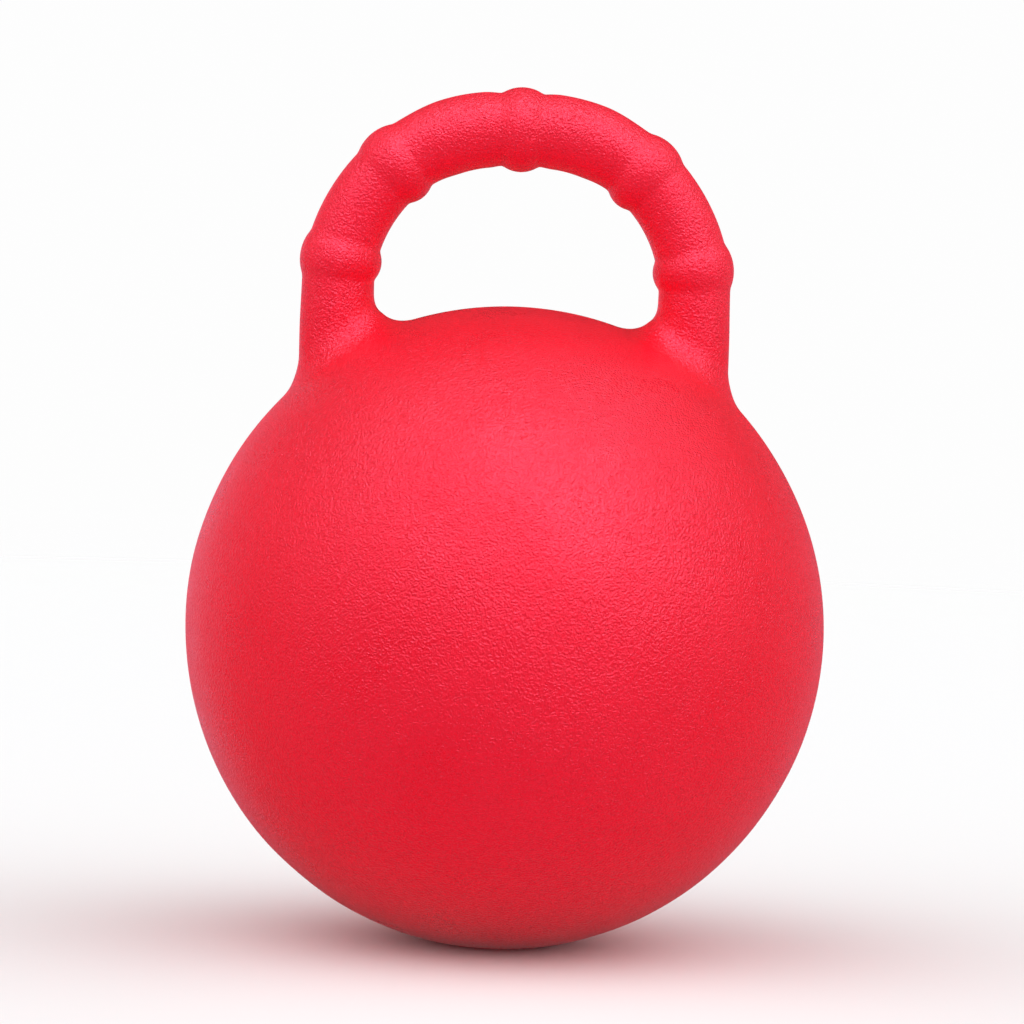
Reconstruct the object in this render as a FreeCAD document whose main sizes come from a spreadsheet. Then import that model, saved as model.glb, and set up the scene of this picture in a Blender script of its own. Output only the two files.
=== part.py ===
"""Soft medicine ball with a handle: a hollow moulded ball and tubular grip in one
skin, closed at the base by a collar and a pull-out stopper, and weighted with iron
sand.

Frame: millimetres, +Z up, origin at the centre of the resting flat on the underside.
+X runs across the handle from leg to leg, +Y runs from front to back.
"""
import FreeCAD, Part
import math
import os

import Sketcher

# ---------------------------------------------------------------- driving sizes
# alias, value, note
SIZES = [
    # ball
    ("ball_radius", 100.4, "outside radius of the ball"),
    ("rest_radius", 16.0, "radius of the resting flat"),
    ("wall", 4.5, "moulded wall, ball and handle"),
    # handle
    ("grip_radius", 11.3, "outside radius of the grip tube"),
    ("arch_radius", 50.2, "centreline radius of the two handle bends"),
    ("arch_flat", 5.5, "half length of the straight between the bends"),
    ("bend_height", 204.5, "height of the bend centres above the floor"),
    ("root_height", 150.0, "height, inside the ball, where the legs start"),
    ("root_blend", 9.4, "blend radius between the legs and the ball"),
    # grip beads
    ("bead_radius", 12.7, "crest radius of the four outer grip beads"),
    ("bead_top_radius", 13.2, "crest radius of the middle bead"),
    ("bead_half", 7.3, "half length of a bead along the grip"),
    ("bead_foot", 10.7, "radius of a bead at its ends, just inside the grip"),
    ("bead_angle_in", 40.9, "bend angle of the shoulder beads, from the top"),
    ("bead_angle_out", 80.7, "bend angle of the side beads, from the top"),
    # filling port and collar
    ("port_radius", 12.0, "hole through the base that the collar is bonded into"),
    ("port_overcut", 2.0, "how far the port's cut runs past the wall"),
    ("collar_flange", 15.0, "radius of the collar's inside flange"),
    ("collar_flange_top", 7.0, "top of the inside flange"),
    ("collar_boss", 10.5, "radius of the collar's neck"),
    ("collar_top", 17.0, "top of the collar's neck"),
    ("collar_round", 0.8, "rounding of the collar's flange and neck"),
    ("seat_radius", 9.6, "counterbore that takes the stopper's head"),
    ("seat_depth", 3.2, "depth of the counterbore"),
    ("notch_radius", 1.6, "pry notch in the edge of the counterbore"),
    ("bore_low", 6.2, "tapered bore at the counterbore"),
    ("bore_high", 5.4, "tapered bore at the top of the neck"),
    # stopper
    ("stopper_head", 9.4, "stopper head radius"),
    ("stopper_sink", 0.5, "how far the head is sunk below the resting flat"),
    ("stopper_gap", 0.05, "clearance of the stopper in the collar"),
    ("stopper_top", 18.5, "top of the stopper's stem"),
    ("stopper_core", 3.0, "radius of the stem's hollow core"),
    ("stopper_floor", 6.0, "bottom of the hollow core"),
    ("stem_relief", 0.45, "how far the stem stands back between its ridges"),
    ("tip_relief", 1.3, "how far the tip of the stem is drawn in"),
    ("ridge_first", 5.0, "height where the lowest sealing ridge starts"),
    ("ridge_pitch", 4.0, "spacing of the sealing ridges"),
    ("ridge_length", 2.0, "length of a sealing ridge"),
    ("ridge_ramp", 0.5, "length of the ramp at each end of a ridge"),
    ("finger_radius", 6.4, "radius of the two finger pockets"),
    ("finger_depth", 1.5, "depth of the finger pockets"),
    ("bar_half", 1.3, "half width of the bar between the finger pockets"),
    ("head_round", 0.6, "rounding of the stopper head's rim"),
    # weight
    ("sand_gap", 0.15, "clearance between the sand and the skin"),
    ("sand_cup_gap", 0.5, "clearance between the sand and the tip of the stopper"),
    ("sand_top", 78.3, "level of the settled sand above the floor"),
]

# alias, formula in the aliases above it, note
DERIVED = [
    ("centre_height", "sqrt(ball_radius^2 - rest_radius^2)", "centre of the ball"),
    ("cavity_radius", "ball_radius - wall", "inside radius of the ball"),
    ("grip_bore", "grip_radius - wall", "inside radius of the grip tube"),
    ("leg_reach", "arch_flat + arch_radius", "distance of each leg from the middle"),
    ("arch_length", "2 * arch_flat", "length of the straight between the bends"),
    ("arch_top", "bend_height + arch_radius", "height of the handle's centreline"),
    ("port_cut", "wall + port_overcut", "depth of the port's cut"),
    ("bore_slope", "(bore_high - bore_low) / (collar_top - seat_depth)", "bore taper"),
    ("tip_radius", "bore_high - stopper_gap - tip_relief", "tip of the stopper's stem"),
    ("sand_radius", "cavity_radius - sand_gap", "outside radius of the sand"),
    ("sand_floor", "wall + sand_gap", "underside of the sand"),
    ("sand_flange", "collar_flange + sand_gap", "sand around the collar's flange"),
    ("sand_ledge", "collar_flange_top + sand_gap", "sand over the collar's flange"),
    ("sand_neck", "collar_boss + sand_gap", "sand around the collar's neck"),
    ("sand_cup", "stopper_top + sand_cup_gap", "sand over the stopper"),
]

# Radius of the arc along a bead, from its length and its rise over the foot.
for crown, crest in (("bead_crown", "bead_radius"), ("bead_top_crown", "bead_top_radius")):
    rise = "(%s - bead_foot)" % crest
    DERIVED.append(
        (crown, "(bead_half^2 + {0}^2) / (2 * {0})".format(rise), "lengthwise radius of a bead")
    )

# Ends of the beads on the bends: near is the end towards the top of the handle.
for place, angle in (("shoulder", "bead_angle_in"), ("side", "bead_angle_out")):
    for end, back, ahead in (("near", "-", "+"), ("far", "+", "-")):
        middle_x = "arch_flat + arch_radius * sin(%s)" % angle
        middle_z = "bend_height + arch_radius * cos(%s)" % angle
        note = "%s end of a %s bead" % (end, place)
        DERIVED += [
            ("%s_%s_x" % (place, end), "%s %s bead_half * cos(%s)" % (middle_x, back, angle), note),
            ("%s_%s_z" % (place, end), "%s %s bead_half * sin(%s)" % (middle_z, ahead, angle), note),
        ]

# Corners of the stopper's stem, from the head up: name, height, set back from the bore.
STEM = [("stem_foot", "seat_depth - stopper_gap", "stem_relief")]
for ridge in range(3):
    start = "ridge_first + %d * ridge_pitch" % ridge
    STEM += [
        ("ridge_%d_foot" % ridge, start, "stem_relief"),
        ("ridge_%d_crest" % ridge, start + " + ridge_ramp", "0"),
        ("ridge_%d_crest_end" % ridge, start + " + ridge_length - ridge_ramp", "0"),
        ("ridge_%d_end" % ridge, start + " + ridge_length", "stem_relief"),
    ]
STEM.append(("stem_top", "collar_top", "stem_relief"))
for name, height, relief in STEM:
    radius = "bore_low + (%s_z - seat_depth) * bore_slope - stopper_gap - %s" % (name, relief)
    DERIVED += [
        (name + "_z", height, "height of a stem corner"),
        (name + "_r", radius, "radius of a stem corner"),
    ]

doc = FreeCAD.newDocument("medicine_ball")
sheet = doc.addObject("Spreadsheet::Sheet", "Dims")
for row, (alias, value, note) in enumerate(SIZES + DERIVED, start=1):
    sheet.set("A%d" % row, alias)
    sheet.set("B%d" % row, "=" + value if isinstance(value, str) else repr(value))
    sheet.setAlias("B%d" % row, alias)
    sheet.set("C%d" % row, note)
doc.recompute()
dims = {alias: float(sheet.get(alias)) for alias, value, note in SIZES + DERIVED}

# Sketcher's numbers for the origin, the axes and the points of a piece.
H_AXIS, V_AXIS = -1, -2
ORIGIN = (-1, 1)
START, END, CENTRE = 1, 2, 3


# ---------------------------------------------------------------- sketch helpers
def new_body(label):
    body = doc.addObject("PartDesign::Body", label)
    body.Label = label
    return body


def new_sketch(body, name, role="XZ_Plane", lift=None):
    """A sketch on an origin plane, raised by the size with the alias lift."""
    plane = next(item for item in body.Origin.OriginFeatures if item.Role == role)
    sketch = body.newObject("Sketcher::SketchObject", name)
    sketch.AttachmentSupport = [(plane, "")]
    sketch.MapMode = "FlatFace"
    if lift:
        sketch.setExpression("AttachmentOffset.Base.z", "Dims." + lift)
    return sketch


def point(x, y):
    return FreeCAD.Vector(x, y, 0)


def circle_curve(centre, radius):
    return Part.Circle(point(*centre), FreeCAD.Vector(0, 0, 1), radius)


def add_line(sketch, start, end):
    sketch.addGeometry(Part.LineSegment(point(*start), point(*end)), False)


def add_arc(sketch, centre, radius, start_angle, end_angle):
    arc = Part.ArcOfCircle(circle_curve(centre, radius), start_angle, end_angle)
    sketch.addGeometry(arc, False)


def tie(sketch, kind, *where):
    return sketch.addConstraint(Sketcher.Constraint(kind, *where))


def drive(sketch, name, alias, kind, *where):
    """A named dimension that follows a size in the sheet."""
    index = tie(sketch, kind, *where, dims[alias])
    sketch.renameConstraint(index, name)
    sketch.setExpression("Constraints." + name, "Dims." + alias)


def join(sketch, first, count, backward=None):
    """Closes a loop of pieces end to start; the piece numbered backward runs the other way."""
    for i in range(first, first + count):
        following = first + (i + 1 - first) % count
        leave = START if i == backward else END
        enter = END if following == backward else START
        tie(sketch, "Coincident", i, leave, following, enter)


def polygon(sketch, corners):
    """A closed outline whose corners are pairs of aliases (radius, height), None for 0."""
    places = [[dims[alias] if alias else 0.0 for alias in corner] for corner in corners]
    for start, end in zip(places, places[1:] + places[:1]):
        add_line(sketch, start, end)
    join(sketch, 0, len(corners))
    for i, (radius, height) in enumerate(corners):
        for letter, alias, kind, axis in (
            ("r", radius, "DistanceX", V_AXIS),
            ("z", height, "DistanceY", H_AXIS),
        ):
            if alias:
                drive(sketch, "%s%d" % (letter, i), alias, kind, *ORIGIN, i, START)
            else:
                tie(sketch, "PointOnObject", i, START, axis)


def slice_radius(sphere_radius, height):
    """Radius at a height of a sphere about the ball's centre."""
    return math.sqrt(sphere_radius**2 - (dims["centre_height"] - height) ** 2)


def cut_sphere(sketch, alias, base_height):
    """Half outline of a sphere about the ball's centre, cut flat at a height."""
    radius, centre_z = dims[alias], dims["centre_height"]
    base_radius = slice_radius(radius, base_height)
    top = centre_z + radius
    start_angle = math.atan2(base_height - centre_z, base_radius)
    add_line(sketch, (0, base_height), (base_radius, base_height))
    add_arc(sketch, (0, centre_z), radius, start_angle, math.pi / 2)
    add_line(sketch, (0, top), (0, base_height))
    join(sketch, 0, 3)
    tie(sketch, "Horizontal", 0)
    tie(sketch, "Vertical", 2)
    drive(sketch, "arc", alias, "Radius", 1)
    tie(sketch, "PointOnObject", 1, CENTRE, V_AXIS)


# ---------------------------------------------------------------- feature helpers
def revolve(body, kind, name, sketch, axis="V_Axis"):
    feature = body.newObject("PartDesign::" + kind, name)
    feature.Profile = sketch
    feature.ReferenceAxis = (sketch, [axis])
    feature.Angle = 360.0
    sketch.Visibility = False
    doc.recompute()


def pocket(body, name, sketch, depth):
    """Cuts upwards from the sketch."""
    doc.recompute()
    feature = body.newObject("PartDesign::Pocket", name)
    feature.Profile = sketch
    feature.Length = dims[depth]
    feature.setExpression("Length", "Dims." + depth)
    feature.Reversed = True
    sketch.Visibility = False
    doc.recompute()
    return feature


def pipe(body, kind, name, path, alias):
    """A round section, swept along the handle's centreline from the foot of the left leg."""
    ring = new_sketch(body, name + "_section", "XY_Plane", "root_height")
    ring.addGeometry(circle_curve((-dims["leg_reach"], 0), dims[alias]), False)
    drive(ring, "radius", alias, "Radius", 0)
    drive(ring, "leg", "leg_reach", "DistanceX", 0, CENTRE, *ORIGIN)
    tie(ring, "PointOnObject", 0, CENTRE, H_AXIS)
    doc.recompute()
    feature = body.newObject("PartDesign::" + kind, name)
    feature.Profile = ring
    feature.Spine = (path, ["Edge%d" % (i + 1) for i in range(5)])
    feature.Transition = "Right corner"
    ring.Visibility = False
    path.Visibility = False
    doc.recompute()
    return feature


def fillet(body, name, base, edges, alias):
    feature = body.newObject("PartDesign::Fillet", name)
    feature.Base = (base, edges)
    feature.Radius = dims[alias]
    feature.setExpression("Radius", "Dims." + alias)
    doc.recompute()


def edges_where(body, test):
    return ["Edge%d" % i for i, edge in enumerate(body.Shape.Edges, start=1) if test(edge)]


def circles_at(body, radius, height):
    """Names of a body's circular edges, found by two aliases."""
    return edges_where(
        body,
        lambda edge: isinstance(edge.Curve, Part.Circle)
        and abs(edge.Curve.Radius - dims[radius]) < 0.01
        and abs(edge.BoundBox.ZMin - dims[height]) < 0.01,
    )


# ---------------------------------------------------------------- ball skin and handle
def handle_path(body):
    """The handle's centreline: a leg, a bend, a short straight, a bend and a leg."""
    radius, flat, leg = dims["arch_radius"], dims["arch_flat"], dims["leg_reach"]
    bend, root, top = dims["bend_height"], dims["root_height"], dims["arch_top"]
    path = new_sketch(body, "handle_path")
    add_line(path, (-leg, root), (-leg, bend))
    add_arc(path, (-flat, bend), radius, math.pi / 2, math.pi)
    add_line(path, (-flat, top), (flat, top))
    add_arc(path, (flat, bend), radius, 0.0, math.pi / 2)
    add_line(path, (leg, bend), (leg, root))
    tie(path, "Tangent", 0, END, 1, END)
    tie(path, "Tangent", 1, START, 2, START)
    tie(path, "Tangent", 2, END, 3, END)
    tie(path, "Tangent", 3, START, 4, START)
    tie(path, "Vertical", 0)
    tie(path, "Vertical", 4)
    tie(path, "Symmetric", 2, START, 2, END, V_AXIS)
    tie(path, "Equal", 1, 3)
    drive(path, "straight", "arch_length", "DistanceX", 2, START, 2, END)
    drive(path, "bend", "arch_radius", "Radius", 1)
    drive(path, "rise", "bend_height", "DistanceY", *ORIGIN, 1, CENTRE)
    drive(path, "root_a", "root_height", "DistanceY", *ORIGIN, 0, START)
    drive(path, "root_b", "root_height", "DistanceY", *ORIGIN, 4, END)
    doc.recompute()
    return path


def is_root_edge(edge):
    """True for the edges where the legs meet the ball's outside."""
    box = edge.BoundBox
    return (
        abs(abs(box.Center.x) - dims["leg_reach"]) < 3
        and box.ZMax < dims["bend_height"] - 1
        and box.ZMin > dims["centre_height"] + 40
        and box.YLength > 15
    )


def bead(body, name, crest, crown, ends):
    """One grip bead: a barrel revolved about the grip's own line.

    ends holds, for both ends of its axis, the side in X (-1 or 1) and the aliases of x and z.
    """
    near, far = [point(side * dims[x], dims[z]) for side, x, z in ends]
    along = (far - near) * (0.5 / dims["bead_half"])
    outward = point(-along.y, along.x)
    if outward.y < 0:
        outward = outward * -1
    near_rim = near + outward * dims["bead_foot"]
    far_rim = far + outward * dims["bead_foot"]
    summit = (near + far) * 0.5 + outward * dims[crest]

    outline = new_sketch(body, name + "_outline")
    outline.addGeometry(Part.LineSegment(near, far), False)
    outline.addGeometry(Part.LineSegment(far, far_rim), False)
    outline.addGeometry(Part.Arc(far_rim, summit, near_rim), False)
    outline.addGeometry(Part.LineSegment(near_rim, near), False)
    # the arc's stored direction may run either way
    forward = outline.getPoint(2, START).distanceToPoint(far_rim) < 1e-6
    join(outline, 0, 4, backward=None if forward else 2)

    for label, corner, (side, x, z) in zip(("inner", "outer"), (START, END), ends):
        span = (*ORIGIN, 0, corner) if side > 0 else (0, corner, *ORIGIN)
        drive(outline, label + "_x", x, "DistanceX", *span)
        drive(outline, label + "_z", z, "DistanceY", *ORIGIN, 0, corner)
    tie(outline, "Perpendicular", 0, 1)
    tie(outline, "Perpendicular", 0, 3)
    drive(outline, "foot", "bead_foot", "Distance", 1)
    tie(outline, "Equal", 1, 3)
    drive(outline, "crown", crown, "Radius", 2)
    revolve(body, "Revolution", name, outline, "Edge1")


def make_shell():
    body = new_body("shell")

    outline = new_sketch(body, "ball_outline", "YZ_Plane")
    cut_sphere(outline, "ball_radius", 0.0)
    tie(outline, "Coincident", 0, START, *ORIGIN)
    drive(outline, "rest", "rest_radius", "DistanceX", 0, START, 0, END)
    revolve(body, "Revolution", "ball", outline)

    path = handle_path(body)
    handle = pipe(body, "AdditivePipe", "handle", path, "grip_radius")
    fillet(body, "root_blends", handle, edges_where(body, is_root_edge), "root_blend")

    top_ends = [(side, "bead_half", "arch_top") for side in (-1, 1)]
    bead(body, "bead_top", "bead_top_radius", "bead_top_crown", top_ends)
    for place in ("shoulder", "side"):
        for hand, side in (("left", -1), ("right", 1)):
            ends = [
                (side, "%s_%s_x" % (place, end), "%s_%s_z" % (place, end))
                for end in ("near", "far")
            ]
            bead(body, "bead_%s_%s" % (place, hand), "bead_radius", "bead_crown", ends)

    # The hollow inside: the ball's cavity, then the bore of the handle, open to each other.
    outline = new_sketch(body, "cavity_outline", "YZ_Plane")
    cut_sphere(outline, "cavity_radius", dims["wall"])
    tie(outline, "PointOnObject", 0, START, V_AXIS)
    drive(outline, "base_wall", "wall", "DistanceY", *ORIGIN, 0, START)
    drive(outline, "height", "centre_height", "DistanceY", *ORIGIN, 1, CENTRE)
    revolve(body, "Groove", "cavity", outline)
    pipe(body, "SubtractivePipe", "handle_bore", path, "grip_bore")

    # The filling port through the base.
    outline = new_sketch(body, "port_outline", "XY_Plane")
    outline.addGeometry(circle_curve((0, 0), dims["port_radius"]), False)
    tie(outline, "Coincident", 0, CENTRE, *ORIGIN)
    drive(outline, "radius", "port_radius", "Radius", 0)
    pocket(body, "port", outline, "port_cut")
    return body


# ---------------------------------------------------------------- collar bonded into the port
def make_collar():
    body = new_body("valve_collar")
    outline = new_sketch(body, "collar_outline")
    polygon(
        outline,
        [
            ("seat_radius", None),
            ("port_radius", None),
            ("port_radius", "wall"),
            ("collar_flange", "wall"),
            ("collar_flange", "collar_flange_top"),
            ("collar_boss", "collar_flange_top"),
            ("collar_boss", "collar_top"),
            ("bore_high", "collar_top"),
            ("bore_low", "seat_depth"),
            ("seat_radius", "seat_depth"),
        ],
    )
    revolve(body, "Revolution", "collar_ring", outline)

    # a notch in the front edge of the seat, where a blunt tool lifts the stopper's head
    outline = new_sketch(body, "pry_outline", "XY_Plane")
    outline.addGeometry(circle_curve((0, -dims["seat_radius"]), dims["notch_radius"]), False)
    drive(outline, "out", "seat_radius", "DistanceY", 0, CENTRE, *ORIGIN)
    tie(outline, "PointOnObject", 0, CENTRE, V_AXIS)
    drive(outline, "radius", "notch_radius", "Radius", 0)
    notch = pocket(body, "pry_notch", outline, "seat_depth")

    rims = circles_at(body, "collar_flange", "collar_flange_top")
    rims += circles_at(body, "collar_boss", "collar_top")
    fillet(body, "collar_rounds", notch, rims, "collar_round")
    return body


# ---------------------------------------------------------------- pull-out stopper
def make_stopper():
    body = new_body("fill_stopper")

    # The ridges reach almost to the tapered bore, with relieved lands between them.
    outline = new_sketch(body, "stopper_outline")
    polygon(
        outline,
        [
            (None, "stopper_sink"),
            ("stopper_head", "stopper_sink"),
            ("stopper_head", "stem_foot_z"),
        ]
        + [(name + "_r", name + "_z") for name, height, relief in STEM]
        + [
            ("tip_radius", "stopper_top"),
            ("stopper_core", "stopper_top"),
            ("stopper_core", "stopper_floor"),
            (None, "stopper_floor"),
        ],
    )
    revolve(body, "Revolution", "stopper_turned", outline)

    # two finger pockets in the head leave a bar between them to grip
    outline = new_sketch(body, "grip_outline", "XY_Plane", "stopper_sink")
    radius = dims["finger_radius"]
    bar_angle = math.asin(dims["bar_half"] / radius)
    for first, label, turn in ((0, "front", math.pi), (2, "back", 0.0)):
        angles = (turn + bar_angle, turn + math.pi - bar_angle)
        start, end = [(radius * math.cos(a), radius * math.sin(a)) for a in angles]
        chord = first + 1
        add_arc(outline, (0, 0), radius, *angles)
        add_line(outline, end, start)
        join(outline, first, 2)
        tie(outline, "Coincident", first, CENTRE, *ORIGIN)
        tie(outline, "Horizontal", chord)
        drive(outline, "radius_" + label, "finger_radius", "Radius", first)
        span = (*ORIGIN, chord, START) if label == "back" else (chord, START, *ORIGIN)
        drive(outline, "bar_" + label, "bar_half", "DistanceY", *span)
    pockets = pocket(body, "grip_pockets", outline, "finger_depth")

    rim = circles_at(body, "stopper_head", "stopper_sink")
    fillet(body, "head_round", pockets, rim, "head_round")
    return body


# ---------------------------------------------------------------- iron sand, settled in the bowl
def make_sand():
    body = new_body("ballast_sand")
    radius, centre_z = dims["sand_radius"], dims["centre_height"]
    neck, flange, ledge = dims["sand_neck"], dims["sand_flange"], dims["sand_ledge"]
    floor, level, cup = dims["sand_floor"], dims["sand_top"], dims["sand_cup"]
    floor_radius = slice_radius(radius, floor)
    level_radius = slice_radius(radius, level)
    # (radius, height) from the axis above the stopper, down around the collar, to the skin
    steps = [
        (0, cup),
        (neck, cup),
        (neck, ledge),
        (flange, ledge),
        (flange, floor),
        (floor_radius, floor),
    ]
    outline = new_sketch(body, "sand_outline")
    for start, end in zip(steps, steps[1:]):
        add_line(outline, start, end)
    floor_angle = math.atan2(floor - centre_z, floor_radius)
    level_angle = math.atan2(level - centre_z, level_radius)
    add_arc(outline, (0, centre_z), radius, floor_angle, level_angle)
    add_line(outline, (level_radius, level), (0, level))
    add_line(outline, (0, level), (0, cup))
    join(outline, 0, 8)
    for i in (0, 2, 4, 6):
        tie(outline, "Horizontal", i)
    for i in (1, 3, 7):
        tie(outline, "Vertical", i)
    tie(outline, "PointOnObject", 0, START, V_AXIS)
    drive(outline, "cup", "sand_cup", "DistanceY", *ORIGIN, 0, START)
    drive(outline, "neck", "sand_neck", "DistanceX", *ORIGIN, 1, START)
    drive(outline, "ledge", "sand_ledge", "DistanceY", *ORIGIN, 2, START)
    drive(outline, "flange", "sand_flange", "DistanceX", *ORIGIN, 3, START)
    drive(outline, "floor", "sand_floor", "DistanceY", *ORIGIN, 4, START)
    drive(outline, "bowl", "sand_radius", "Radius", 5)
    tie(outline, "PointOnObject", 5, CENTRE, V_AXIS)
    drive(outline, "height", "centre_height", "DistanceY", *ORIGIN, 5, CENTRE)
    drive(outline, "level", "sand_top", "DistanceY", *ORIGIN, 6, START)
    revolve(body, "Revolution", "sand_bed", outline)
    return body


# ---------------------------------------------------------------- build, check and write
bodies = [make_shell(), make_collar(), make_stopper(), make_sand()]
doc.recompute()

failed = [item.Label for item in doc.Objects if "Invalid" in item.State or "Error" in item.State]
if failed:
    raise SystemExit("failed features: " + ", ".join(failed))

# every feature must add or remove at least 1 mm3
for item in doc.Objects:
    base = getattr(item, "BaseFeature", None)
    if base and abs(item.Shape.Volume - base.Shape.Volume) < 1.0:
        raise SystemExit("feature changed nothing: " + item.Label)

for body in bodies:
    shape = body.Shape
    if shape.isNull() or not shape.isValid() or len(shape.Solids) != 1:
        raise SystemExit("bad shape: " + body.Label)

os.makedirs("parts", exist_ok=True)
for body in bodies:
    body.Shape.exportStep("parts/%s.step" % body.Label)
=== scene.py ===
"""The look of a soft medicine ball with a loop handle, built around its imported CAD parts.

The ball rests on z = 0, centred on the Z axis. The handle's loop stands on top in the XZ
plane, the port is underneath and the camera looks from -Y, the front.
Shapes are in millimetres in the CAD frame; materials, floor and camera are in metres.
"""
import math

import bpy
import numpy as np
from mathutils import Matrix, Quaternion, Vector


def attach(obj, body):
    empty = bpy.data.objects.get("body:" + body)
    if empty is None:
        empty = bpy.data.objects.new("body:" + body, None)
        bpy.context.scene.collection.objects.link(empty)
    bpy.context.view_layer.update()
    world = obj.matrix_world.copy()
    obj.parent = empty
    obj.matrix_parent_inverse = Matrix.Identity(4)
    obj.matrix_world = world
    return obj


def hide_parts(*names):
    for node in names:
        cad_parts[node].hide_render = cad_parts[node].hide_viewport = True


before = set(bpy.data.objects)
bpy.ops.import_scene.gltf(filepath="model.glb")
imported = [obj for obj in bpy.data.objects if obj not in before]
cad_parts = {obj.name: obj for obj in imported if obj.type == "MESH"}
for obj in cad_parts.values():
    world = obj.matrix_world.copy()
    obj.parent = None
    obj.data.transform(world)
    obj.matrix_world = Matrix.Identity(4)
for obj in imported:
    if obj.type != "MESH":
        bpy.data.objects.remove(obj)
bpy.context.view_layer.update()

# ------------------------------------------------------------------ sizes of the skin
BALL_Z = 99.12  # height of the centre
BALL_R, BALL_H = 99.85, 100.6  # half width and half height
CENTRE = np.array([0, 0, BALL_Z])
RADII = np.array([BALL_R, BALL_R, BALL_H])
FLAT_BLEND = 1.25  # soft edge of the resting flat
WALL = 4.5

# The grip's centreline: a wide crown arc, a tight bend on each side, then straight legs.
CROWN_R, BEND_R = 170.55, 50.10
BEND_X, BEND_Z = 5.52, BALL_Z + 105.40  # centre of the bend on the +X side
LEG_X = BEND_X + BEND_R
CROWN_ANGLE = math.asin(BEND_X / (CROWN_R - BEND_R))  # half angle of the crown
CROWN_Z = BEND_Z - (CROWN_R - BEND_R) * math.cos(CROWN_ANGLE)  # centre of the crown arc
CROWN_END = CROWN_R * CROWN_ANGLE  # distances along the grip from its middle
LEG_START = CROWN_END + BEND_R * (math.pi / 2 - CROWN_ANGLE)
LEG_END_Z = 160.0  # the legs' lower end, inside the ball

GRIP_R = 11.2
BEAD_BASE_R = 11.0
BEADS = [(0.0, 13.15, 6.4), (41.4, 12.75, 6.1), (76.0, 12.75, 6.1)]  # place, crest radius, half length

# Blend between legs and ball: inside the loop, front and back, outside the loop
ROOT_IN, ROOT_SIDE, ROOT_OUT = 13.0, 9.0, 4.8
ROOT_REACH = 14.0  # distance in X from a leg's axis over which the blend changes

# The ball's mesh: a patch under the handle, a ring of quads round it, then a plain lathe.
PATCH_COLUMNS, PATCH_ROWS = 72, 24  # cells along X and Y
LEG_COLUMNS = 24  # columns at each end of the patch that a leg replaces
PATCH_U, PATCH_V = 54.0, 22.4  # half sizes of the patch, in degrees from the top
CELL_U, CELL_V = 2 * PATCH_U / PATCH_COLUMNS, 2 * PATCH_V / PATCH_ROWS
CAP = 70.0  # where the lathe starts, in degrees from the top
MERIDIANS = 2 * (PATCH_COLUMNS + PATCH_ROWS)
CAP_ROWS, LEG_ROWS, LATHE_ROWS = 8, 38, 68
GRIP_STEP = 0.9
LATHE_END_R = 17.0  # radius at which the lathe goes over to the flat rings
FLAT_RINGS = (15.8, 14.9, 14.0, 13.2, 12.6)
# Port edge from outside to inside: r, z
PORT_EDGE = [
    (12.28, 0.10), (12.08, 0.35), (12.03, 0.9), (12.03, 2.2), (12.03, 3.6), (12.08, 4.15),
    (12.28, 4.4),
]
SWELLS = [(70.0, 0.10), (38.0, 0.05), (23.0, 0.025)]  # wavelength, height of the unevenness


# ------------------------------------------------------------------ form of the skin
def smooth_max(a, b, blend):
    share = np.clip(0.5 + 0.5 * (a - b) / blend, 0, 1)
    return b + (a - b) * share + blend * share * (1 - share)


def ramp(x, start, end):
    t = np.clip((x - start) / (end - start), 0, 1)
    return t * t * (3 - 2 * t)


def grip_radius(along):
    """Outside radius of the grip at a distance along it from its middle."""
    along = np.abs(along)
    swollen = ramp(along, 5, 11) * (1 - ramp(along, 22, 34))
    widened = ramp(along, LEG_START - 2, LEG_START + 14)
    radius = GRIP_R + 0.5 * swollen + 0.2 * widened
    for place, crest, half in BEADS:
        rise = crest - BEAD_BASE_R
        arc = (half**2 + rise**2) / (2 * rise)
        offset = np.clip(np.abs(along - place), 0, arc * 0.98)
        radius = smooth_max(radius, crest - arc + np.sqrt(arc**2 - offset**2), 0.4)
    return radius


def grip_line(points):
    """Distance of each point from the grip's centreline, and where along it."""
    x, y, z = np.abs(points[:, 0]), points[:, 1], points[:, 2]
    crown_angle = np.arctan2(x, z - CROWN_Z)
    bend_angle = np.arctan2(x - BEND_X, z - BEND_Z)
    leg = z < BEND_Z
    crown = (~leg) & (crown_angle < CROWN_ANGLE)
    from_crown = np.hypot(x, z - CROWN_Z) - CROWN_R
    from_bend = np.hypot(x - BEND_X, z - BEND_Z) - BEND_R
    offset = np.where(leg, x - LEG_X, np.where(crown, from_crown, from_bend))
    along_bend = CROWN_END + BEND_R * (bend_angle - CROWN_ANGLE)
    along = np.where(crown, CROWN_R * crown_angle, along_bend)
    along = np.where(leg, LEG_START + BEND_Z - z, along)
    below = np.maximum(LEG_END_Z - z, 0)
    return np.sqrt(offset * offset + y * y + below * below), along


def ball_distance(points):
    """Near distance to an ellipsoid cut flat at z = 0."""
    offset = points - CENTRE
    scaled = np.linalg.norm(offset / RADII, axis=1)
    slope = np.linalg.norm(offset / RADII**2, axis=1) + 1e-12
    return smooth_max(scaled * (scaled - 1) / slope, -points[:, 2], FLAT_BLEND)


def field(points):
    """Signed distance, near enough, to the outside of the skin."""
    ball = ball_distance(points)
    distance, along = grip_line(points)
    grip = distance - grip_radius(along)
    side = np.clip((np.abs(points[:, 0]) - LEG_X) / ROOT_REACH, -1, 1)
    blend = ROOT_SIDE + (np.where(side < 0, ROOT_IN, ROOT_OUT) - ROOT_SIDE) * side * side
    round_off = np.hypot(np.maximum(blend - ball, 0), np.maximum(blend - grip, 0))
    return np.maximum(blend, np.minimum(ball, grip)) - round_off


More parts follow.
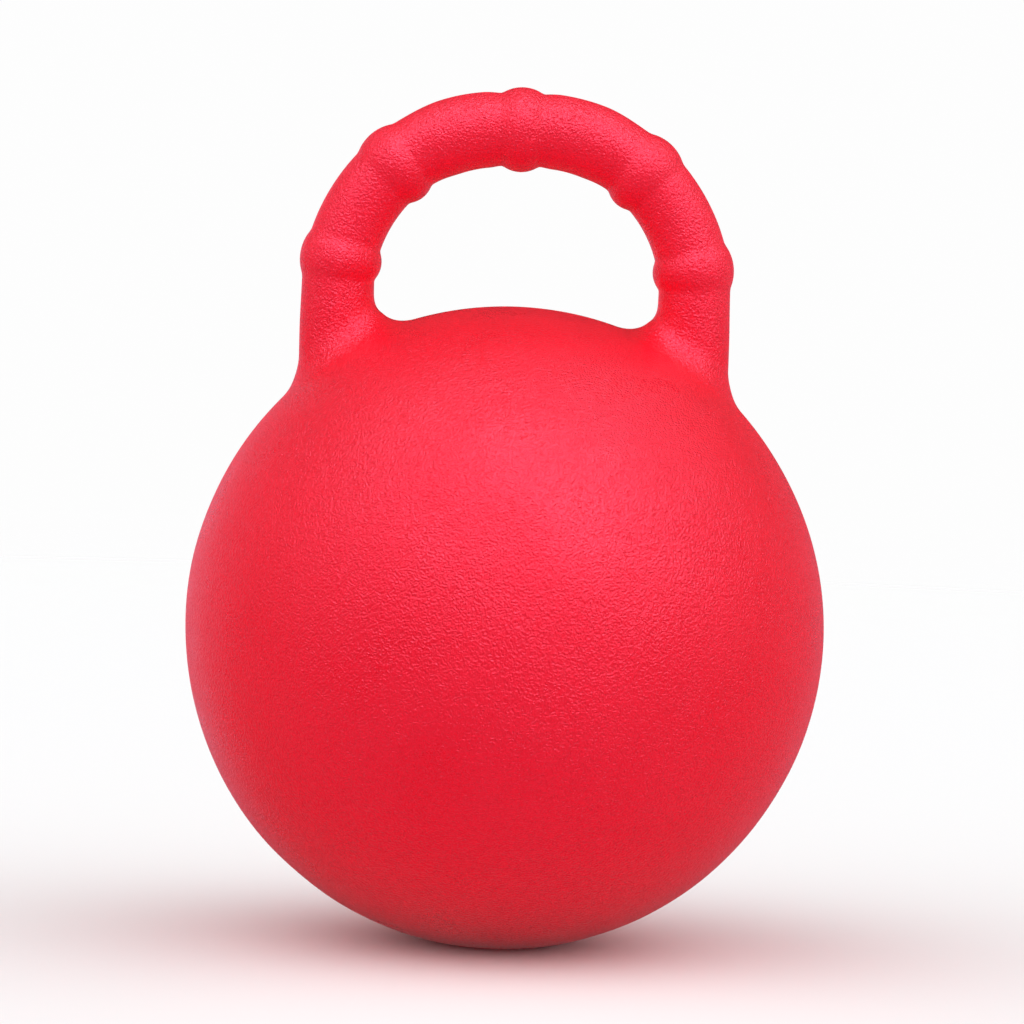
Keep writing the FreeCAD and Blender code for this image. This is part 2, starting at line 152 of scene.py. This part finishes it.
def gradient(points, reach=0.02):
    slopes = np.empty_like(points)
    for i in range(3):
        step = np.zeros(3)
        step[i] = reach
        slopes[:, i] = (field(points + step) - field(points - step)) / (2 * reach)
    return slopes


def settle(points, times=1):
    """Moves points onto the surface."""
    for _ in range(times):
        slopes = gradient(points)
        steepness = np.maximum((slopes * slopes).sum(1), 0.05)
        points = points - (field(points) / steepness)[:, None] * slopes
    return points


# ------------------------------------------------------------------ grids of the skin
def turn_angles(count):
    return 2 * math.pi * np.arange(count) / count


def circle(radius, z, angles):
    return np.stack([radius * np.cos(angles), radius * np.sin(angles), np.full(len(angles), z)], -1)


def closed(points):
    return np.concatenate([points, points[:1]])


def on_ball(uv):
    """Points of the ball from flat polar coordinates in degrees, u along X and v along Y."""
    u, v = uv[..., 0], uv[..., 1]
    polar = np.radians(np.hypot(u, v))
    azimuth = np.arctan2(v, u)
    way = [np.sin(polar) * np.cos(azimuth), np.sin(polar) * np.sin(azimuth), np.cos(polar)]
    return np.stack(way, -1) * RADII + CENTRE


def perimeter(columns):
    """Outline of the patch's last columns at +X, anticlockwise from the middle of its +X side."""
    left = PATCH_U - columns * CELL_U
    half = range(PATCH_ROWS // 2)
    uv = [(PATCH_U, k * CELL_V) for k in half]
    uv += [(PATCH_U - k * CELL_U, PATCH_V) for k in range(columns)]
    uv += [(left, PATCH_V - k * CELL_V) for k in range(PATCH_ROWS)]
    uv += [(left + k * CELL_U, -PATCH_V) for k in range(columns)]
    uv += [(PATCH_U, -PATCH_V + k * CELL_V) for k in half]
    return np.array(uv)


def between(start, end, rows):
    """Closed rows that go evenly from one ring of points to another."""
    steps = [i / rows for i in range(rows + 1)]
    return np.array([closed(start * (1 - t) + end * t) for t in steps])


def grip_ring(along, angles):
    """One ring of the grip, at a signed distance from its middle."""
    distance = abs(along)
    if distance <= CROWN_END:
        arc, centre_x, centre_z = CROWN_R, 0.0, CROWN_Z
        angle = distance / CROWN_R
    else:
        arc, centre_x, centre_z = BEND_R, BEND_X, BEND_Z
        angle = CROWN_ANGLE + (distance - CROWN_END) / BEND_R
    out_x, out_z = math.sin(angle), math.cos(angle)
    radius = grip_radius(along)
    side = 1 if along >= 0 else -1
    x = side * (centre_x + arc * out_x + radius * np.cos(angles) * out_x)
    z = centre_z + arc * out_z + radius * np.cos(angles) * out_z
    return closed(np.stack([x, radius * np.sin(angles), z], -1))


def skin_grids():
    """The outside of the skin as grids of rows x columns x 3; the last row is the port's rim."""
    meridians = turn_angles(MERIDIANS)
    flat_circle = np.stack([np.cos(meridians), np.sin(meridians)], -1)
    cap = on_ball(between(CAP * flat_circle, perimeter(PATCH_COLUMNS), CAP_ROWS))

    # the patch between the legs
    columns = np.arange(PATCH_COLUMNS - 2 * LEG_COLUMNS + 1)
    u = -PATCH_U + CELL_U * (LEG_COLUMNS + columns)
    v = -PATCH_V + CELL_V * np.arange(PATCH_ROWS + 1)
    middle = on_ball(np.stack(np.meshgrid(u, v), -1))

    # from the square round each leg up to the leg's top
    foot = on_ball(perimeter(LEG_COLUMNS))
    round_grip = turn_angles(len(foot))
    leg_top = circle(grip_radius(LEG_START), BEND_Z, round_grip) + [LEG_X, 0, 0]
    leg = between(foot, leg_top, LEG_ROWS)
    other_leg = (leg * [-1, 1, 1])[:, ::-1]

    # the grip, from the +X leg's top over to the other's, with an even number of steps
    steps = int(round(2 * LEG_START / GRIP_STEP))
    steps += steps % 2
    stations = np.linspace(LEG_START, -LEG_START, steps + 1)
    grip = np.array([grip_ring(along, round_grip) for along in stations])

    # the lathe, from the cap's circle down to the port's rim
    lathe_end = 180.0 - math.degrees(math.asin(LATHE_END_R / BALL_R))
    polars = np.linspace(CAP, lathe_end, LATHE_ROWS + 1)
    lathe = [on_ball(closed(polar * flat_circle)) for polar in polars]
    lathe += [closed(circle(radius, 0, meridians)) for radius in FLAT_RINGS]
    return [cap, middle, leg, other_leg, grip, np.array(lathe)]


def weld(grids):
    """Vertices and quads of the joined grids, and the vertex of each grid point."""
    points = np.concatenate([grid.reshape(-1, 3) for grid in grids])
    key = np.round(points, 3) + 0.0  # adding 0.0 turns -0.0 into 0.0
    _, first, index = np.unique(key, axis=0, return_index=True, return_inverse=True)
    order = np.argsort(first)
    rank = np.empty_like(order)
    rank[order] = np.arange(len(order))
    index = rank[index.reshape(-1)]
    quads, base = [], 0
    for grid in grids:
        rows, columns = grid.shape[:2]
        ids = index[base : base + rows * columns].reshape(rows, columns)
        base += rows * columns
        corners = [ids[:-1, :-1], ids[:-1, 1:], ids[1:, 1:], ids[1:, :-1]]
        quads.append(np.stack(corners, -1).reshape(-1, 4))
    return points[first[order]], np.concatenate(quads), index


def relax(verts, quads):
    """Evens out the blend between legs and ball; the lathe and the grip keep their rings."""
    edges = np.concatenate([quads[:, [i, (i + 1) % 4]] for i in range(4)])
    edges = np.unique(np.sort(edges, 1), axis=0)
    links = np.concatenate([edges, edges[:, ::-1]])
    links = links[np.argsort(links[:, 0], kind="stable")]
    starts = np.concatenate([[0], np.flatnonzero(np.diff(links[:, 0])) + 1])
    degree = np.bincount(links[:, 0], minlength=len(verts)).astype(float)[:, None]

    radial = verts - CENTRE
    cosine = np.clip(radial[:, 2] / np.linalg.norm(radial, axis=1), -1, 1)
    polar = np.degrees(np.arccos(cosine))
    free = np.flatnonzero((polar < CAP + 4) & (verts[:, 2] < BEND_Z + 2.5))
    for turn in range(200):
        mean = np.add.reduceat(verts[links[:, 1]], starts, axis=0) / degree
        verts[free] += 0.6 * (mean[free] - verts[free])
        if turn % 3 == 2 or turn > 190:
            verts[free] = settle(verts[free])


def unevenness(verts):
    """A very shallow, wide swell: a moulded skin is never quite true."""
    rng = np.random.default_rng(7)
    swell = np.zeros(len(verts))
    for wave, height in SWELLS:
        for _ in range(7):
            way = rng.normal(size=3)
            way /= np.linalg.norm(way)
            phase = rng.uniform(0, 2 * math.pi)
            swell += height / 2.6 * np.sin(2 * math.pi * (verts @ way) / wave + phase)
    # none round the port
    share = ramp(np.hypot(verts[:, 0], verts[:, 1]), 18, 34)
    share[verts[:, 2] > 100] = 1
    return swell * share


def make(name, verts, faces, body, replaced):
    """A smooth object from millimetres, in place of a CAD part."""
    mesh = bpy.data.meshes.new(name)
    points = (np.asarray(verts) / 1000.0).tolist()
    mesh.from_pydata(points, [], [[int(i) for i in face] for face in faces])
    mesh.validate()
    mesh.polygons.foreach_set("use_smooth", [True] * len(mesh.polygons))
    mesh.update()
    obj = bpy.data.objects.new(name, mesh)
    bpy.context.scene.collection.objects.link(obj)
    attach(obj, body)
    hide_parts(replaced)
    return obj


def make_skin():
    verts, quads, index = weld(skin_grids())
    relax(verts, quads)
    # the flat rings round the port stay where they are
    off_axis = np.hypot(verts[:, 0], verts[:, 1])
    above = np.flatnonzero((verts[:, 2] > 3.0) | (off_axis > 15.9))
    verts[above] = settle(verts[above], times=3)
    verts[:, 2] = np.maximum(verts[:, 2], 0)

    normals = gradient(verts)
    normals /= np.linalg.norm(normals, axis=1)[:, None]
    outer = verts + normals * unevenness(verts)[:, None]
    inner = verts - normals * WALL

    # every quad faces out
    corners = verts[quads]
    facing = np.cross(corners[:, 2] - corners[:, 0], corners[:, 3] - corners[:, 1])
    flip = (normals[quads[:, 0]] * facing).sum(1) < 0
    quads[flip] = quads[flip][:, ::-1]

    # the port's rounded edge joins outside and inside
    rim = index[-(MERIDIANS + 1) : -1]
    points = [outer, inner]
    loops = [rim]
    base = 2 * len(verts)
    for radius, z in PORT_EDGE:
        points.append(circle(radius, z, turn_angles(MERIDIANS)))
        loops.append(base + np.arange(MERIDIANS))
        base += MERIDIANS
    loops.append(rim + len(verts))
    faces = [quads, quads[:, ::-1] + len(verts)]
    for low, high in zip(loops, loops[1:]):
        faces.append(np.stack([low, high, np.roll(high, -1), np.roll(low, -1)], -1))
    return make("skin", np.concatenate(points), np.concatenate(faces), "ball", "shell")


# ------------------------------------------------------------------ turned pieces
def rounded(profile, steps):
    """Outline of (r, z) from a closed profile of (r, z, corner radius)."""
    outline = []
    for i, (*corner, radius) in enumerate(profile):
        corner = np.array(corner, float)
        before = np.array(profile[i - 1][:2], float) - corner
        after = np.array(profile[(i + 1) % len(profile)][:2], float) - corner
        before_length, after_length = np.linalg.norm(before), np.linalg.norm(after)
        cut = min(radius, 0.45 * before_length, 0.45 * after_length)
        if cut < 1e-6:
            outline.append(tuple(corner))
            continue
        start = corner + before / before_length * cut
        end = corner + after / after_length * cut
        for k in range(steps + 1):
            t = k / steps
            outline.append(tuple((1 - t) ** 2 * start + 2 * t * (1 - t) * corner + t * t * end))
    return outline


def subdivide(outline, longest):
    """Splits an open outline's long segments evenly."""
    points = []
    for start, end in zip(outline, outline[1:]):
        start, end = np.array(start), np.array(end)
        parts = max(1, int(math.ceil(np.linalg.norm(end - start) / longest)))
        points += [tuple(start + (end - start) * k / parts) for k in range(parts)]
    return points + [tuple(outline[-1])]


def turned(outline, segments):
    """Revolves a closed outline of (r, z) about Z. A point on the axis becomes one vertex."""
    angles = turn_angles(segments)
    points, rings = [], []
    for radius, z in outline:
        if radius < 1e-6:
            rings.append([len(points)] * segments)
            points.append((0.0, 0.0, z))
        else:
            rings.append(list(range(len(points), len(points) + segments)))
            points.extend(circle(radius, z, angles))
    faces = []
    for low, high in zip(rings, rings[1:] + rings[:1]):
        if low[0] == low[1] and high[0] == high[1]:
            continue
        for k in range(segments):
            after = (k + 1) % segments
            # on the axis two corners are one
            faces.append(list(dict.fromkeys([low[k], low[after], high[after], high[k]])))
    return np.array(points, float), faces


# Collar: a ring with a flange on the inside of the skin and a tapered bore
BORE_LOW, BORE_TOP = (6.2, 3.2), (5.4, 17.0)  # r, z
COLLAR = [  # r, z, corner radius
    (9.6, 0, 0.35), (11.97, 0, 0.35), (11.97, 4.52, 0.0), (15.0, 4.52, 0.3), (15.0, 7.0, 0.8),
    (10.5, 7.0, 0.6), (10.5, 17.0, 0.8), (*BORE_TOP, 0.3), (*BORE_LOW, 0.3), (9.6, 3.2, 0.25),
]
SEAT_R = 9.6
NOTCH_R = 1.6


def notched(points):
    """Presses a round pry notch into the seat's wall, at the front."""
    r = np.hypot(points[:, 0], points[:, 1])
    angle = np.arctan2(points[:, 1], points[:, 0])
    across = np.abs(angle + math.pi / 2) * SEAT_R
    bite = np.sqrt(np.clip(NOTCH_R**2 - across**2, 0, None))
    share = np.clip((11.9 - r) / 2.3, 0, 1) * ((r > 9.0) & (points[:, 2] < 3.4))
    scale = (r + bite * share) / r
    return points * np.stack([scale, scale, np.ones_like(scale)], -1)


def make_collar():
    outline = rounded(COLLAR, 4)
    points, faces = turned(subdivide(outline + outline[:1], 0.5)[:-1], 160)
    return make("collar", notched(points), faces, "ball", "valve_collar")


# Stopper: a head with two finger pockets and a ribbed stem with a hollow core
HEAD_R, HEAD_LOW, HEAD_TOP = 9.4, 0.5, 3.12
STEM_TOP, CORE_R, CORE_LOW = 18.5, 3.0, 6.0
STEM_GAP, RIB_GAP = 0.5, 0.06  # clearance to the bore
RIBS_Z = (5.0, 9.0, 13.0)
RIB = [(0.0, STEM_GAP), (0.5, RIB_GAP), (1.5, RIB_GAP), (2.0, STEM_GAP)]  # height, clearance
POCKET_DEPTH = 1.5


def bore_radius(z):
    (low_r, low_z), (top_r, top_z) = BORE_LOW, BORE_TOP
    return low_r + (z - low_z) / (top_z - low_z) * (top_r - low_r)


def stopper_outline():
    profile = [  # r, z, corner radius
        (0.0, HEAD_LOW, 0.0),
        (HEAD_R, HEAD_LOW, 0.6),
        (HEAD_R, HEAD_TOP, 0.3),
        (bore_radius(3.15) - STEM_GAP, HEAD_TOP, 0.2),
    ]
    for low in RIBS_Z:
        profile += [(bore_radius(low + rise) - gap, low + rise, 0.2) for rise, gap in RIB]
    profile += [
        (bore_radius(17.0) - STEM_GAP, 17.0, 0.3),
        (bore_radius(17.0) - 1.3, STEM_TOP, 0.4),
        (CORE_R, STEM_TOP, 0.4),
        (CORE_R, CORE_LOW, 0.5),
        (0.0, CORE_LOW, 0.0),
    ]
    # fine rings under the head, where the pockets are pressed in
    head = [(r, HEAD_LOW) for r in np.arange(0.0, 8.6, 0.16)]
    return head + subdivide(rounded(profile, 3)[1:], 0.45)


def make_stopper():
    points, faces = turned(stopper_outline(), 144)
    # the pockets lie either side of a bar along X
    r = np.hypot(points[:, 0], points[:, 1])
    under = np.abs(points[:, 2] - HEAD_LOW) < 1e-6
    deep = ramp(np.abs(points[:, 1]), 1.3, 1.75) * (1 - ramp(r, 5.9, 6.4))
    points[:, 2] += np.where(under, POCKET_DEPTH * deep, 0)
    return make("stopper", points, faces, "stopper", "fill_stopper")


# Sand: fills the ball's bowl up to its level, a little heaped, round the collar
SAND_GAP = 0.35  # between sand and skin
BOWL_R, BOWL_H = BALL_R - WALL - SAND_GAP, BALL_H - WALL - SAND_GAP
LEVEL = 78.0
SAND_EDGE_Z = LEVEL - 1.0
SAND_EDGE_R = BOWL_R * math.sqrt(1 - ((SAND_EDGE_Z - BALL_Z) / BOWL_H) ** 2)
SAND_FLOOR = 4.9
SAND_LOW = [  # r, z over and down the outside of the collar
    (0.0, 19.0), (4.0, 19.0), (8.0, 19.0), (10.65, 19.0), (10.65, 15.0), (10.65, 11.0),
    (10.65, 7.15), (12.5, 7.15), (15.15, 7.15), (15.15, SAND_FLOOR), (17.5, SAND_FLOOR),
]
DUNES = [(60.0, 0.9), (27.0, 0.45), (11.0, 0.2), (5.0, 0.12)]  # wavelength, height
HEAP = 1.6  # the top sinks by this much, and the dunes reach no further


def sand_outline():
    side = []
    for r in np.concatenate([[20.0, 22.0, 25.0], np.linspace(28, 92, 40)]):
        z = BALL_Z - BOWL_H * math.sqrt(max(0.0, 1 - (r / BOWL_R) ** 2))
        if r < SAND_EDGE_R and z > SAND_FLOOR:
            side.append((r, z))
    top = [(r, LEVEL) for r in np.arange(math.floor(SAND_EDGE_R) - 0.5, 1.0, -1.5)]
    return SAND_LOW + side + [(SAND_EDGE_R, SAND_EDGE_Z)] + top + [(0.0, LEVEL)]


def make_sand():
    points, faces = turned(sand_outline(), 128)
    x, y, z = points.T
    rng = np.random.default_rng(11)
    dune = np.zeros(len(points))
    for wave, height in DUNES:
        for _ in range(6):
            angle = rng.uniform(0, 2 * math.pi)
            phase = rng.uniform(0, 6.28)
            across = x * math.cos(angle) + y * math.sin(angle)
            dune += height / 2.45 * np.sin(2 * math.pi * across / wave + phase)
    calm = 1 - ramp(np.hypot(x, y), SAND_EDGE_R - 9, SAND_EDGE_R)
    points[:, 2] += np.where(z > LEVEL - 0.5, -HEAP + np.clip(dune, -HEAP, HEAP) * calm, 0)
    return make("sand", points, faces, "ball", "ballast_sand")


# ------------------------------------------------------------------ node helpers
class Nodes:
    """Short names for building a node tree."""

    def __init__(self, tree, coords="Object"):
        self.tree = tree
        self.coords = self.node("TexCoord").outputs[coords]

    def node(self, kind, **settings):
        node = self.tree.nodes.new("ShaderNode" + kind)
        for key, value in settings.items():
            setattr(node, key, value)
        return node

    def put(self, socket, value):
        if hasattr(value, "is_output"):
            self.tree.links.new(value, socket)
        else:
            socket.default_value = value

    def fill(self, node, values):
        """Sets or links inputs by name or number."""
        for key, value in values.items():
            self.put(node.inputs[key], value)
        return node

    def noise(self, scale, detail=2.0, rough=0.5, vector=None, output="Fac"):
        values = {"Vector": vector or self.coords, "Scale": scale, "Detail": detail}
        node = self.fill(self.node("TexNoise"), {**values, "Roughness": rough})
        return node.outputs[output]

    def cells(self, scale):
        values = {"Vector": self.coords, "Scale": scale}
        return self.fill(self.node("TexVoronoi"), values).outputs["Distance"]

    def math(self, operation, *values):
        node = self.node("Math", operation=operation)
        return self.fill(node, dict(enumerate(values))).outputs[0]

    def times(self, a, b):
        return self.math("MULTIPLY", a, b)

    def times_plus(self, value, gain, plus):
        return self.math("MULTIPLY_ADD", value, gain, plus)

    def vector_math(self, operation, values, output=0):
        node = self.node("VectorMath", operation=operation)
        return self.fill(node, values).outputs[output]

    def fit(self, value, low, high, at_low=0.0, at_high=1.0):
        """Goes smoothly from at_low to at_high while the value goes from low to high."""
        values = {"From Min": low, "From Max": high, "To Min": at_low, "To Max": at_high}
        node = self.node("MapRange", interpolation_type="SMOOTHSTEP")
        return self.fill(node, {"Value": value, **values}).outputs["Result"]

    def mix(self, factor, a, b, blend="MIX"):
        node = self.node("Mix", data_type="RGBA", blend_type=blend)
        return self.fill(node, {0: factor, 6: a, 7: b}).outputs[2]

    def warp(self, scale, amount):
        """The coordinates pushed about by a noise, in metres."""
        noise = self.noise(scale, detail=1.0, output="Color")
        centred = self.vector_math("SUBTRACT", {0: noise, 1: (0.5, 0.5, 0.5)})
        scaled = self.vector_math("SCALE", {0: centred, "Scale": amount})
        return self.vector_math("ADD", {0: self.coords, 1: scaled})

    def xyz(self):
        return self.fill(self.node("SeparateXYZ"), {0: self.coords}).outputs

    def off_axis(self, x, y):
        return self.math("SQRT", self.math("ADD", self.times(x, x), self.times(y, y)))

    def bump(self, height, distance):
        values = {"Distance": distance, "Height": height}
        return self.fill(self.node("Bump"), values).outputs["Normal"]


class Material(Nodes):
    def __init__(self, name):
        self.mat = bpy.data.materials.new(name)
        self.mat.use_nodes = True
        super().__init__(self.mat.node_tree)

    def set(self, **values):
        """Fills the Principled shader's inputs; underscores stand for spaces."""
        named = {key.replace("_", " "): value for key, value in values.items()}
        self.fill(self.tree.nodes["Principled BSDF"], named)
        return self.mat


# ------------------------------------------------------------------ materials
def vinyl(name, deep, main, light, grain, rough):
    """Soft PVC with a fine leather grain."""
    m = Material(name)
    bent = m.warp(scale=440, amount=0.0009)
    small = m.noise(scale=1480, detail=1.0, rough=0.45, vector=bent)
    worms = m.noise(scale=850, detail=0.5, vector=bent)
    fold = m.math("ABSOLUTE", m.times_plus(worms, gain=2.0, plus=-1.0))
    ridge = m.fit(fold, low=0.0, high=0.5, at_low=1.0, at_high=0.0)
    height = m.times_plus(ridge, gain=0.20, plus=m.times(small, 0.80))
    depth = m.fit(m.noise(scale=17), low=0.3, high=0.7, at_low=0.82, at_high=1.12)

    # the grain is shallower on the ball's crown, inside the loop
    x, y, z = m.xyz()
    near_axis = m.fit(m.off_axis(x, y), low=0.030, high=0.068, at_low=1.0, at_high=0.0)
    over_ball = m.fit(z, low=0.160, high=0.185)
    under_grip = m.fit(z, low=0.204, high=0.213, at_low=1.0, at_high=0.0)
    calm = m.times(near_axis, m.times(over_ball, under_grip))
    depth = m.times(depth, m.times_plus(calm, gain=-0.5, plus=1.0))
    normal = m.bump(m.times(height, depth), distance=0.00062 * grain)

    # colour: wide drift, painted shade in the grain's valleys, specks of dust
    wide = m.fit(m.noise(scale=9, detail=3.0, rough=0.55), low=0.32, high=0.68)
    colour = m.mix(wide, main, light)
    valley = m.fit(height, low=0.38, high=0.60, at_low=1.0, at_high=0.0)
    # painted shade: the grain's valleys are darkened towards the deep colour
    colour = m.mix(m.times(valley, 0.12), colour, deep)
    specks = m.fit(m.cells(scale=330), low=0.045, high=0.02)
    dust = m.times(specks, m.fit(m.noise(scale=60), low=0.69, high=0.73))
    colour = m.mix(m.times(dust, 0.35), colour, (0.95, 0.40, 0.48, 1))
    # painted light: the grip, the highest part, is made a shade paler
    colour = m.mix(m.fit(z, low=0.180, high=0.222), colour, (0.03, 0.006, 0.011, 1), "ADD")

    # roughness: patches of wear, and duller valleys
    rub = m.fit(m.noise(scale=13, detail=1.0), low=0.45, high=0.75)
    patches = m.noise(scale=42)
    dull = m.fit(patches, low=0.3, high=0.7, at_low=rough[0], at_high=rough[1])
    dull = m.times_plus(rub, gain=0.03, plus=dull)
    dull = m.times_plus(valley, gain=0.05, plus=dull)
    tint = (1.0, 0.35, 0.62, 1)
    return m.set(Base_Color=colour, Roughness=dull, Normal=normal, IOR=1.52, Specular_Tint=tint)


def black_rubber():
    """Dull black rubber with pale wear."""
    m = Material("black_rubber")
    cloud = m.noise(scale=70, detail=4.0, rough=0.6)
    grit = m.noise(scale=900, rough=0.6)
    clouded = m.fit(cloud, low=0.35, high=0.7)
    colour = m.mix(clouded, (0.018, 0.018, 0.019, 1), (0.035, 0.034, 0.034, 1))
    worn = m.fit(m.noise(scale=240, detail=3.0, rough=0.7), low=0.55, high=0.72)
    colour = m.mix(m.times(worn, 0.35), colour, (0.09, 0.085, 0.082, 1))
    dull = m.fit(cloud, low=0.3, high=0.7, at_low=0.55, at_high=0.72)
    return m.set(Base_Color=colour, Roughness=dull, Normal=m.bump(grit, distance=0.00006))


def iron_sand():
    """Dark grains with a few light ones."""
    m = Material("iron_sand")
    grains = m.cells(scale=1500)
    tint = m.noise(scale=1400, detail=1.0)
    tinted = m.fit(tint, low=0.35, high=0.65)
    colour = m.mix(tinted, (0.028, 0.024, 0.022, 1), (0.11, 0.09, 0.075, 1))
    bright = m.fit(m.noise(scale=2300, detail=0.0), low=0.66, high=0.72)
    colour = m.mix(bright, colour, (0.34, 0.27, 0.2, 1))
    dull = m.fit(tint, low=0.3, high=0.7, at_low=0.55, at_high=0.85)
    normal = m.bump(m.math("SUBTRACT", 1.0, grains), distance=0.0005)
    return m.set(Base_Color=colour, Roughness=dull, Metallic=0.15, Normal=normal)


def pale_floor():
    """Fades out far away and vanishes from below; light passes it under the ball's foot."""
    m = Material("pale_floor")
    x, y, _ = m.xyz()
    away = m.off_axis(x, y)
    under = m.node("NewGeometry").outputs["Backfacing"]
    seen = m.node("LightPath").outputs["Is Camera Ray"]
    fade = m.fit(away, low=0.45, high=2.2, at_low=1.0, at_high=0.0)
    solid = m.times(fade, m.math("MAXIMUM", seen, m.fit(away, low=0.0132, high=0.018)))
    solid = m.times(solid, m.math("SUBTRACT", 1.0, under))
    # what it throws back up, and what the camera sees
    colour = m.mix(seen, (0.86, 0.86, 0.86, 1), (0.835, 0.835, 0.84, 1))
    return m.set(Base_Color=colour, Roughness=0.85, Alpha=solid, Specular_IOR_Level=0.0)


# ------------------------------------------------------------------ floor and light
def make_floor(half=8):
    mesh = bpy.data.meshes.new("floor")
    corners = [(-half, -half, 0), (half, -half, 0), (half, half, 0), (-half, half, 0)]
    mesh.from_pydata(corners, [], [(0, 1, 2, 3)])
    floor = bpy.data.objects.new("floor", mesh)
    bpy.context.scene.collection.objects.link(floor)
    floor.visible_glossy = False
    mesh.materials.append(pale_floor())


# Lobes of light: gain, azimuth, elevation, angle where it ends, angle where it is full.
# Degrees; azimuth 0 is the camera's side, turning towards +X.
SHINE_LOBES = [(6.6, 36, 45, 53, 10), (4.5, -41, 49, 44, 8), (1.8, 0, 76, 44, 8)]
RIM_LOBES = [(0.80, -152, -2, 27, 5), (0.42, 152, -8, 26, 5)]
LOW_LOBES = [(0.14, 180, -58, 50, 15)]
GLOW_LOBES = [(1.04, 100, 22, 70, 10), (0.80, -88, 36, 70, 10), (0.26, 0, 55, 80, 10),
              (-0.28, 0, 0, 60, 15)]


def make_world():
    """A tent of light; reflections (shine) and other rays (glow) see different tents."""
    world = bpy.data.worlds.new("studio")
    world.use_nodes = True
    world.node_tree.nodes.clear()
    w = Nodes(world.node_tree, "Generated")
    up = w.xyz()[2]

    def lobe(azimuth, elevation, wide, tight):
        """1 near a direction and 0 far from it."""
        turn, lift = math.radians(azimuth), math.radians(elevation)
        flat = math.cos(lift)
        aim = (math.sin(turn) * flat, -math.cos(turn) * flat, math.sin(lift))
        facing = w.vector_math("DOT_PRODUCT", {0: w.coords, 1: aim}, "Value")
        return w.fit(facing, low=math.cos(math.radians(wide)), high=math.cos(math.radians(tight)))

    def lobes(table):
        return [(gain, lobe(*shape)) for gain, *shape in table]

    def total(start, terms):
        for gain, term in terms:
            start = w.times_plus(term, gain, start)
        return start

    def background(colour, strength):
        return w.fill(w.node("Background"), {0: colour, 1: strength}).outputs[0]

    def choose(flag, no, yes):
        return w.fill(w.node("MixShader"), {0: flag, 1: no, 2: yes}).outputs[0]

    behind = lobe(azimuth=180, elevation=30, wide=80, tight=25)
    sky = (0.30, w.fit(up, low=-0.30, high=0.60))
    shine = total(0.16, [sky, *lobes(SHINE_LOBES), (-0.32, behind)])
    rim = total(0.0, lobes(RIM_LOBES))
    shine = total(w.math("MAXIMUM", shine, 0.03), [(1.0, rim), *lobes(LOW_LOBES)])
    tint = w.mix(w.fit(rim, low=0.0, high=0.35), (1, 1, 1, 1), (1.0, 0.66, 0.86, 1))
    sky = (0.24, w.fit(up, low=-0.2, high=0.9))
    glow = total(0.61, [sky, *lobes(GLOW_LOBES), (-0.64, behind)])

    white = (1, 1, 1, 1)
    path = w.node("LightPath").outputs
    light = choose(path["Is Glossy Ray"], background(white, glow), background(tint, shine))
    light = choose(path["Is Camera Ray"], light, background(white, 0.985))
    w.fill(w.node("OutputWorld"), {0: light})
    world.cycles.sampling_method = "NONE"
    bpy.context.scene.world = world


# ------------------------------------------------------------------ camera
CAMERA_AT = Vector((0.0011, -1.6, 0.235))
LOOK_AT = Vector((0.0011, 0, 0.1354))
SPAN = 0.320512  # the frame's width at the ball
ROLL = math.radians(2.0)
SENSOR = 36.0


def make_camera():
    lens = bpy.data.cameras.new("camera")
    camera = bpy.data.objects.new("camera", lens)
    bpy.context.scene.collection.objects.link(camera)
    bpy.context.scene.camera = camera
    camera.location = CAMERA_AT
    direction = LOOK_AT - camera.location
    camera.rotation_mode = "QUATERNION"
    aim = direction.to_track_quat("-Z", "Y")
    camera.rotation_quaternion = aim @ Quaternion((0, 0, 1), ROLL)
    lens.sensor_width = SENSOR
    lens.lens = SENSOR * direction.length / SPAN
    lens.clip_start, lens.clip_end = 0.05, 20


# ------------------------------------------------------------------ everything together
skin = make_skin()
collar = make_collar()
stopper = make_stopper()
sand = make_sand()

skin.data.materials.append(vinyl(
    "red_vinyl",
    deep=(0.56, 0.0022, 0.010, 1),
    main=(0.80, 0.0042, 0.0175, 1),
    light=(0.84, 0.0058, 0.0215, 1),
    grain=1.0,
    rough=(0.26, 0.34),
))
collar.data.materials.append(vinyl(
    "collar_vinyl",
    deep=(0.30, 0.003, 0.010, 1),
    main=(0.50, 0.006, 0.018, 1),
    light=(0.55, 0.008, 0.022, 1),
    grain=0.25,
    rough=(0.4, 0.5),
))
stopper.data.materials.append(black_rubber())
sand.data.materials.append(iron_sand())

make_floor()
make_world()
bpy.context.scene.view_settings.view_transform = "Standard"
make_camera()
